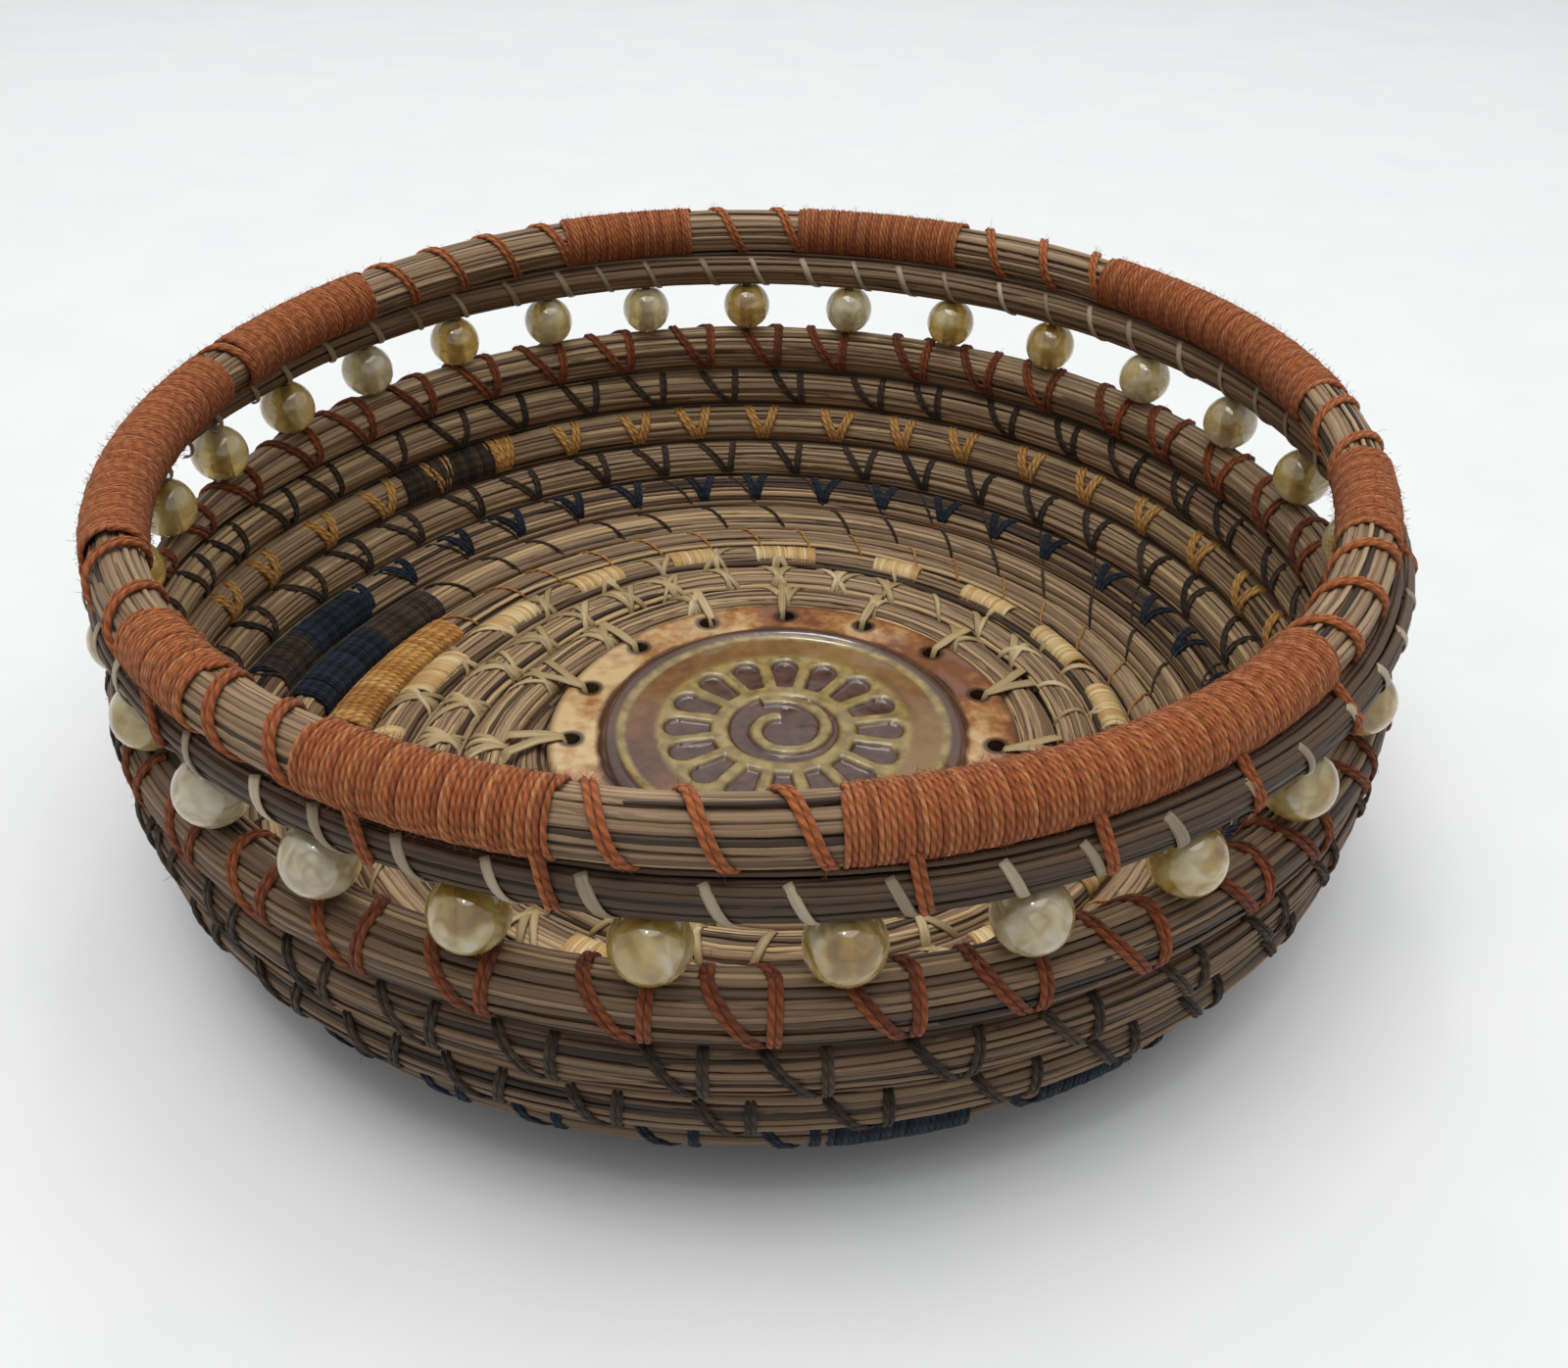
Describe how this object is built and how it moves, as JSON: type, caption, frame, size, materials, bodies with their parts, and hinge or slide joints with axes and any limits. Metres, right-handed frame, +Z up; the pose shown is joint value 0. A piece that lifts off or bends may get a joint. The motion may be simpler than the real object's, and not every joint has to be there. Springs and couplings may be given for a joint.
{
  "type": "pine needle basket",
  "caption": "Round coiled pine needle basket with a glazed ceramic centre, a ring of glass beads on threads under the rim, and a thick rim coil wrapped with rust yarn.",
  "frame": {"origin": "middle of the basket's foot, on the table", "axes": "+Z up through the middle of the rim; +X to the right and -Y to the front as pictured"},
  "size_m": [0.206, 0.2078, 0.07],
  "materials": {
    "needles": "satin",
    "rim_needles": "satin",
    "rust_yarn": "matte",
    "thread": "matte",
    "raffia": "satin",
    "ceramic": "gloss",
    "bead_glass": "gloss"
  },
  "bodies": {
    "basket": {"medallion": "ceramic", "needle_coil": "needles", "thin_rim_coil": "rim_needles", "thick_rim_coil": "rim_needles", "rim_yarn_1": "rust_yarn", "rim_yarn_2": "rust_yarn", "rim_yarn_3": "rust_yarn", "rim_yarn_4": "rust_yarn", "rim_yarn_5": "rust_yarn", "rim_yarn_6": "rust_yarn", "rim_yarn_7": "rust_yarn", "rim_yarn_8": "rust_yarn", "rim_yarn_9": "rust_yarn"},
    "bead_01": {"bead_01": "bead_glass"},
    "bead_02": {"bead_02": "bead_glass"},
    "bead_03": {"bead_03": "bead_glass"},
    "bead_04": {"bead_04": "bead_glass"},
    "bead_05": {"bead_05": "bead_glass"},
    "bead_06": {"bead_06": "bead_glass"},
    "bead_07": {"bead_07": "bead_glass"},
    "bead_08": {"bead_08": "bead_glass"},
    "bead_09": {"bead_09": "bead_glass"},
    "bead_10": {"bead_10": "bead_glass"},
    "bead_11": {"bead_11": "bead_glass"},
    "bead_12": {"bead_12": "bead_glass"},
    "bead_13": {"bead_13": "bead_glass"},
    "bead_14": {"bead_14": "bead_glass"},
    "bead_15": {"bead_15": "bead_glass"},
    "bead_16": {"bead_16": "bead_glass"},
    "bead_17": {"bead_17": "bead_glass"},
    "bead_18": {"bead_18": "bead_glass"},
    "bead_19": {"bead_19": "bead_glass"},
    "bead_20": {"bead_20": "bead_glass"},
    "bead_21": {"bead_21": "bead_glass"},
    "bead_22": {"bead_22": "bead_glass"},
    "bead_23": {"bead_23": "bead_glass"},
    "bead_24": {"bead_24": "bead_glass"},
    "bead_25": {"bead_25": "bead_glass"},
    "bead_26": {"bead_26": "bead_glass"},
    "bead_27": {"bead_27": "bead_glass"},
    "bead_28": {"bead_28": "bead_glass"}
  },
  "joints": [
    {"name": "bead_01_spin", "type": "hinge", "parent": "basket", "child": "bead_01", "pos_m": [0.09632, 0.02026, 0.04858], "axis": [0, 0, 1], "continuous": true},
    {"name": "bead_02_spin", "type": "hinge", "parent": "basket", "child": "bead_02", "pos_m": [0.08876, 0.04254, 0.04858], "axis": [0, 0, 1], "continuous": true},
    {"name": "bead_03_spin", "type": "hinge", "parent": "basket", "child": "bead_03", "pos_m": [0.0762, 0.0623, 0.04858], "axis": [0, 0, 1], "continuous": true},
    {"name": "bead_04_spin", "type": "hinge", "parent": "basket", "child": "bead_04", "pos_m": [0.05947, 0.07843, 0.04858], "axis": [0, 0, 1], "continuous": true},
    {"name": "bead_05_spin", "type": "hinge", "parent": "basket", "child": "bead_05", "pos_m": [0.03965, 0.09008, 0.04858], "axis": [0, 0, 1], "continuous": true},
    {"name": "bead_06_spin", "type": "hinge", "parent": "basket", "child": "bead_06", "pos_m": [0.01795, 0.09677, 0.04858], "axis": [0, 0, 1], "continuous": true},
    {"name": "bead_07_spin", "type": "hinge", "parent": "basket", "child": "bead_07", "pos_m": [-0.00437, 0.09833, 0.04858], "axis": [0, 0, 1], "continuous": true},
    {"name": "bead_08_spin", "type": "hinge", "parent": "basket", "child": "bead_08", "pos_m": [-0.02614, 0.09489, 0.04858], "axis": [0, 0, 1], "continuous": true},
    {"name": "bead_09_spin", "type": "hinge", "parent": "basket", "child": "bead_09", "pos_m": [-0.0463, 0.08686, 0.04858], "axis": [0, 0, 1], "continuous": true},
    {"name": "bead_10_spin", "type": "hinge", "parent": "basket", "child": "bead_10", "pos_m": [-0.06396, 0.07481, 0.04858], "axis": [0, 0, 1], "continuous": true},
    {"name": "bead_11_spin", "type": "hinge", "parent": "basket", "child": "bead_11", "pos_m": [-0.07843, 0.05947, 0.04858], "axis": [0, 0, 1], "continuous": true},
    {"name": "bead_12_spin", "type": "hinge", "parent": "basket", "child": "bead_12", "pos_m": [-0.08919, 0.04162, 0.04858], "axis": [0, 0, 1], "continuous": true},
    {"name": "bead_13_spin", "type": "hinge", "parent": "basket", "child": "bead_13", "pos_m": [-0.09592, 0.02208, 0.04858], "axis": [0, 0, 1], "continuous": true},
    {"name": "bead_14_spin", "type": "hinge", "parent": "basket", "child": "bead_14", "pos_m": [-0.09841, 0.00169, 0.04858], "axis": [0, 0, 1], "continuous": true},
    {"name": "bead_15_spin", "type": "hinge", "parent": "basket", "child": "bead_15", "pos_m": [-0.09662, -0.01875, 0.04858], "axis": [0, 0, 1], "continuous": true},
    {"name": "bead_16_spin", "type": "hinge", "parent": "basket", "child": "bead_16", "pos_m": [-0.09062, -0.0384, 0.04858], "axis": [0, 0, 1], "continuous": true},
    {"name": "bead_17_spin", "type": "hinge", "parent": "basket", "child": "bead_17", "pos_m": [-0.08061, -0.05647, 0.04858], "axis": [0, 0, 1], "continuous": true},
    {"name": "bead_18_spin", "type": "hinge", "parent": "basket", "child": "bead_18", "pos_m": [-0.06691, -0.07218, 0.04858], "axis": [0, 0, 1], "continuous": true},
    {"name": "bead_19_spin", "type": "hinge", "parent": "basket", "child": "bead_19", "pos_m": [-0.05, -0.08478, 0.04858], "axis": [0, 0, 1], "continuous": true},
    {"name": "bead_20_spin", "type": "hinge", "parent": "basket", "child": "bead_20", "pos_m": [-0.03052, -0.09358, 0.04858], "axis": [0, 0, 1], "continuous": true},
    {"name": "bead_21_spin", "type": "hinge", "parent": "basket", "child": "bead_21", "pos_m": [-0.00927, -0.09799, 0.04858], "axis": [0, 0, 1], "continuous": true},
    {"name": "bead_22_spin", "type": "hinge", "parent": "basket", "child": "bead_22", "pos_m": [0.01277, -0.09759, 0.04858], "axis": [0, 0, 1], "continuous": true},
    {"name": "bead_23_spin", "type": "hinge", "parent": "basket", "child": "bead_23", "pos_m": [0.03449, -0.09219, 0.04858], "axis": [0, 0, 1], "continuous": true},
    {"name": "bead_24_spin", "type": "hinge", "parent": "basket", "child": "bead_24", "pos_m": [0.05469, -0.08183, 0.04858], "axis": [0, 0, 1], "continuous": true},
    {"name": "bead_25_spin", "type": "hinge", "parent": "basket", "child": "bead_25", "pos_m": [0.07218, -0.06691, 0.04858], "axis": [0, 0, 1], "continuous": true},
    {"name": "bead_26_spin", "type": "hinge", "parent": "basket", "child": "bead_26", "pos_m": [0.08586, -0.04812, 0.04858], "axis": [0, 0, 1], "continuous": true},
    {"name": "bead_27_spin", "type": "hinge", "parent": "basket", "child": "bead_27", "pos_m": [0.0948, -0.02648, 0.04858], "axis": [0, 0, 1], "continuous": true},
    {"name": "bead_28_spin", "type": "hinge", "parent": "basket", "child": "bead_28", "pos_m": [0.09837, -0.00322, 0.04858], "axis": [0, 0, 1], "continuous": true}
  ]
}
